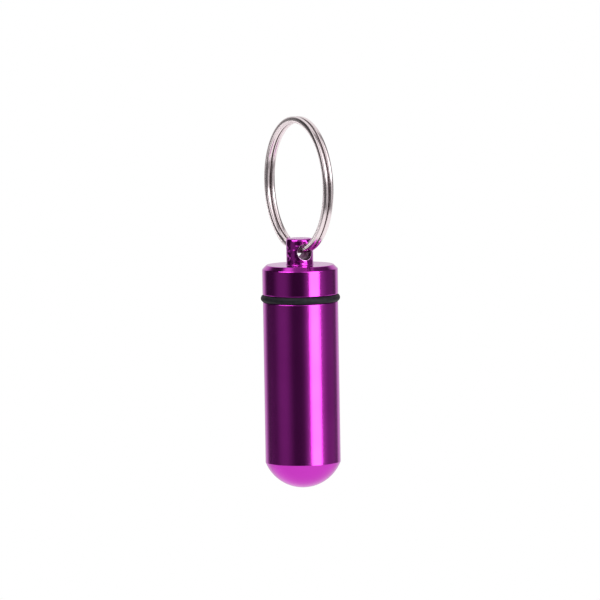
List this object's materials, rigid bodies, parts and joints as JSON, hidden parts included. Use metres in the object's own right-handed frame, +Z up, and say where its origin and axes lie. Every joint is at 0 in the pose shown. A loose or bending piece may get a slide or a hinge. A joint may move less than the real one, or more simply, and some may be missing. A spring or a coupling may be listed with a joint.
{
  "type": "pill fob keychain",
  "caption": "Slim metal pill capsule with a domed bottom and a screw cap on a rubber seal, hanging by the cap's drilled lug from a split key ring.",
  "frame": {"origin": "hang point: the top inside the key ring, in the middle between its two turns", "axes": "+Z up along the hanging capsule, X along the lug's cross hole in the key ring's plane, Y along the key ring's axis"},
  "size_m": [0.0254, 0.0148, 0.0692],
  "materials": {
    "anodised_aluminium": "turned, polished and anodised in a clear purple, glossy",
    "seal_rubber": "moulded black rubber, satin",
    "nickel_plate": "nickel-plated spring steel, bright"
  },
  "bodies": {
    "ring": {"split_ring": "nickel_plate"},
    "cap": {"cap": "anodised_aluminium"},
    "seal": {"o_ring": "seal_rubber"},
    "tube": {"capsule_body": "anodised_aluminium"}
  },
  "joints": [
    {"name": "cap_swing", "type": "hinge", "parent": "ring", "child": "cap", "pos_m": [0, 0, -0.02391], "axis": [1, 0, 0], "range_deg": [-130, 130]},
    {"name": "seal_lead", "type": "slide", "parent": "cap", "child": "seal", "axis": [0, 0, -1], "range_m": [0, 0.0035]},
    {"name": "tube_unscrew", "type": "hinge", "parent": "seal", "child": "tube", "pos_m": [0, 0, -0.0332], "axis": [0, 0, -1], "range_deg": [0, 1260]}
  ],
  "couplings": [
    {"joint": "seal_lead", "follows": "tube_unscrew", "m_per_rad": 0.00015915}
  ]
}
